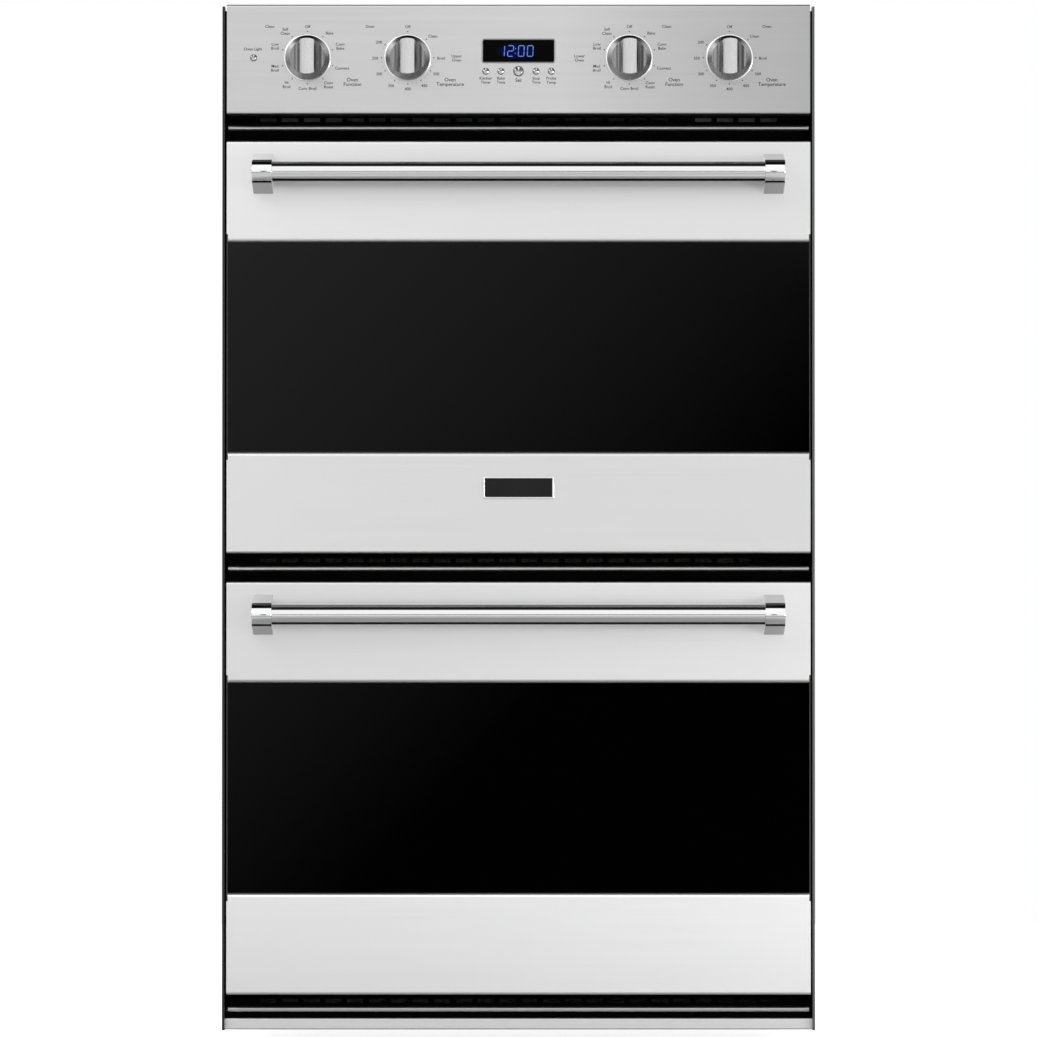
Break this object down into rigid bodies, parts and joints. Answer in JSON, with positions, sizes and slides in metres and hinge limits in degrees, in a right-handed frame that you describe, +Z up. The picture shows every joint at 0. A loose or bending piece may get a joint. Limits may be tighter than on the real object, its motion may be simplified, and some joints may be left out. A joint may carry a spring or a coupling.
{
  "type": "wall oven",
  "caption": "Built-in double wall oven in stainless steel: a knob panel over two drop-down doors with dark windows, tube handles, wire racks and convection fans.",
  "frame": {"origin": "centre of the body's base, on the face that rests on the cabinet's shelf", "axes": "+X to the user's right, +Y back into the cabinet, +Z up"},
  "size_m": [0.7494, 0.7182, 1.2945],
  "materials": {
    "brushed_stainless": "fine vertical brushing, satin",
    "trim_stainless": "satin",
    "tube_stainless": "polished satin",
    "knob_metal": "satin chrome, cast",
    "bezel_chrome": "polished",
    "button_chrome": "polished",
    "black_glass": "polished, dark",
    "clear_glass": "heat-reflecting",
    "black_enamel": "satin black",
    "blue_grey_enamel": "glossy porcelain, fine speckle",
    "galvanised_steel": "galvanised, faint spangle",
    "plated_wire": "bright nickel plate",
    "element_sheath": "oxidised alloy, matte",
    "fibreglass": "loose fibre blanket",
    "gasket_braid": "woven glass braid",
    "motor_steel": "dark, matte",
    "board_green": "circuit board",
    "black_plastic": "moulded",
    "hinge_steel": "zinc-plated",
    "lamp_glass": "clear, fluted",
    "badge_metal": "satin rim, blank black field"
  },
  "bodies": {
    "chassis": {"base_pan": "galvanised_steel", "side_panels": "galvanised_steel", "back_panel": "galvanised_steel", "top_cover": "galvanised_steel", "front_frame": "black_enamel", "side_trims": "trim_stainless", "bottom_trim": "trim_stainless", "vent_trims": "trim_stainless", "control_panel": "brushed_stainless", "display_window": "black_glass", "control_boards": "board_green", "panel_switches": "black_plastic", "knob_bezels": "bezel_chrome", "oven_liners": "blue_grey_enamel", "insulation_blankets": "fibreglass", "rack_guides": "plated_wire", "bake_elements": "element_sheath", "broil_elements": "element_sheath", "convection_elements": "element_sheath", "convection_motors": "motor_steel", "fan_covers": "blue_grey_enamel", "oven_lamps": "lamp_glass", "temperature_sensors": "plated_wire", "door_gaskets": "gasket_braid", "hinge_receivers": "hinge_steel", "cooling_blower": "galvanised_steel", "junction_box": "galvanised_steel", "chassis_screws": "hinge_steel"},
    "upper_door": {"upper_door_skin": "brushed_stainless", "upper_door_glass": "black_glass", "upper_door_liner": "blue_grey_enamel", "upper_inner_glass": "clear_glass", "upper_door_hinges": "hinge_steel", "upper_handle_bar": "tube_stainless", "upper_handle_brackets": "tube_stainless", "badge": "badge_metal"},
    "lower_door": {"lower_door_skin": "brushed_stainless", "lower_door_glass": "black_glass", "lower_door_liner": "blue_grey_enamel", "lower_inner_glass": "clear_glass", "lower_door_hinges": "hinge_steel", "lower_handle_bar": "tube_stainless", "lower_handle_brackets": "tube_stainless"},
    "upper_oven_high_rack": {"upper_oven_high_rack": "plated_wire"},
    "upper_oven_low_rack": {"upper_oven_low_rack": "plated_wire"},
    "lower_oven_high_rack": {"lower_oven_high_rack": "plated_wire"},
    "lower_oven_low_rack": {"lower_oven_low_rack": "plated_wire"},
    "upper_function_knob": {"upper_function_knob": "knob_metal"},
    "upper_temperature_knob": {"upper_temperature_knob": "knob_metal"},
    "lower_function_knob": {"lower_function_knob": "knob_metal"},
    "lower_temperature_knob": {"lower_temperature_knob": "knob_metal"},
    "lamp_button": {"lamp_button": "button_chrome"},
    "kitchen_timer_button": {"kitchen_timer_button": "button_chrome"},
    "bake_time_button": {"bake_time_button": "button_chrome"},
    "set_button": {"set_button": "button_chrome"},
    "stop_time_button": {"stop_time_button": "button_chrome"},
    "probe_button": {"probe_button": "button_chrome"},
    "upper_convection_fan": {"upper_convection_fan": "galvanised_steel"},
    "lower_convection_fan": {"lower_convection_fan": "galvanised_steel"},
    "blower_wheel": {"blower_wheel": "galvanised_steel"}
  },
  "joints": [
    {"name": "upper_door_hinge", "type": "hinge", "parent": "chassis", "child": "upper_door", "pos_m": [0, -0.3215, 0.6104], "axis": [1, 0, 0], "range_deg": [0, 90], "stiffness_Nm_per_rad": 14, "springref_deg": -34.38},
    {"name": "lower_door_hinge", "type": "hinge", "parent": "chassis", "child": "lower_door", "pos_m": [0, -0.3215, 0.0548], "axis": [1, 0, 0], "range_deg": [0, 90], "stiffness_Nm_per_rad": 14, "springref_deg": -34.38},
    {"name": "upper_oven_high_rack_slide", "type": "slide", "parent": "chassis", "child": "upper_oven_high_rack", "axis": [0, -1, 0], "range_m": [0, 0.15]},
    {"name": "upper_oven_low_rack_slide", "type": "slide", "parent": "chassis", "child": "upper_oven_low_rack", "axis": [0, -1, 0], "range_m": [0, 0.3]},
    {"name": "lower_oven_high_rack_slide", "type": "slide", "parent": "chassis", "child": "lower_oven_high_rack", "axis": [0, -1, 0], "range_m": [0, 0.15]},
    {"name": "lower_oven_low_rack_slide", "type": "slide", "parent": "chassis", "child": "lower_oven_low_rack", "axis": [0, -1, 0], "range_m": [0, 0.3]},
    {"name": "upper_function_knob_turn", "type": "hinge", "parent": "chassis", "child": "upper_function_knob", "pos_m": [-0.26605, -0.3515, 1.2272], "axis": [0, 1, 0], "continuous": true},
    {"name": "upper_temperature_knob_turn", "type": "hinge", "parent": "chassis", "child": "upper_temperature_knob", "pos_m": [-0.1397, -0.3515, 1.2272], "axis": [0, 1, 0], "range_deg": [0, 300]},
    {"name": "lower_function_knob_turn", "type": "hinge", "parent": "chassis", "child": "lower_function_knob", "pos_m": [0.1397, -0.3515, 1.2272], "axis": [0, 1, 0], "continuous": true},
    {"name": "lower_temperature_knob_turn", "type": "hinge", "parent": "chassis", "child": "lower_temperature_knob", "pos_m": [0.26605, -0.3515, 1.2272], "axis": [0, 1, 0], "range_deg": [0, 300]},
    {"name": "lamp_button_press", "type": "slide", "parent": "chassis", "child": "lamp_button", "axis": [0, 1, 0], "range_m": [0, 0.0012], "stiffness_N_per_m": 500, "springref_m": -0.001},
    {"name": "kitchen_timer_button_press", "type": "slide", "parent": "chassis", "child": "kitchen_timer_button", "axis": [0, 1, 0], "range_m": [0, 0.0012], "stiffness_N_per_m": 500, "springref_m": -0.001},
    {"name": "bake_time_button_press", "type": "slide", "parent": "chassis", "child": "bake_time_button", "axis": [0, 1, 0], "range_m": [0, 0.0012], "stiffness_N_per_m": 500, "springref_m": -0.001},
    {"name": "set_button_press", "type": "slide", "parent": "chassis", "child": "set_button", "axis": [0, 1, 0], "range_m": [0, 0.0012], "stiffness_N_per_m": 500, "springref_m": -0.001},
    {"name": "stop_time_button_press", "type": "slide", "parent": "chassis", "child": "stop_time_button", "axis": [0, 1, 0], "range_m": [0, 0.0012], "stiffness_N_per_m": 500, "springref_m": -0.001},
    {"name": "probe_button_press", "type": "slide", "parent": "chassis", "child": "probe_button", "axis": [0, 1, 0], "range_m": [0, 0.0012], "stiffness_N_per_m": 500, "springref_m": -0.001},
    {"name": "upper_convection_fan_spin", "type": "hinge", "parent": "chassis", "child": "upper_convection_fan", "pos_m": [0, 0.1725, 0.84965], "axis": [0, 1, 0], "continuous": true},
    {"name": "lower_convection_fan_spin", "type": "hinge", "parent": "chassis", "child": "lower_convection_fan", "pos_m": [0, 0.1725, 0.29405], "axis": [0, 1, 0], "continuous": true},
    {"name": "blower_wheel_spin", "type": "hinge", "parent": "chassis", "child": "blower_wheel", "pos_m": [0.06, 0.119, 1.0899], "axis": [0, 0, 1], "continuous": true}
  ],
  "couplings": [
    {"joint": "upper_oven_high_rack_slide", "follows": "upper_door_hinge", "m_per_rad": 0.09549},
    {"joint": "upper_oven_low_rack_slide", "follows": "upper_door_hinge", "m_per_rad": 0.19098},
    {"joint": "lower_oven_high_rack_slide", "follows": "lower_door_hinge", "m_per_rad": 0.09549},
    {"joint": "lower_oven_low_rack_slide", "follows": "lower_door_hinge", "m_per_rad": 0.19098}
  ]
}
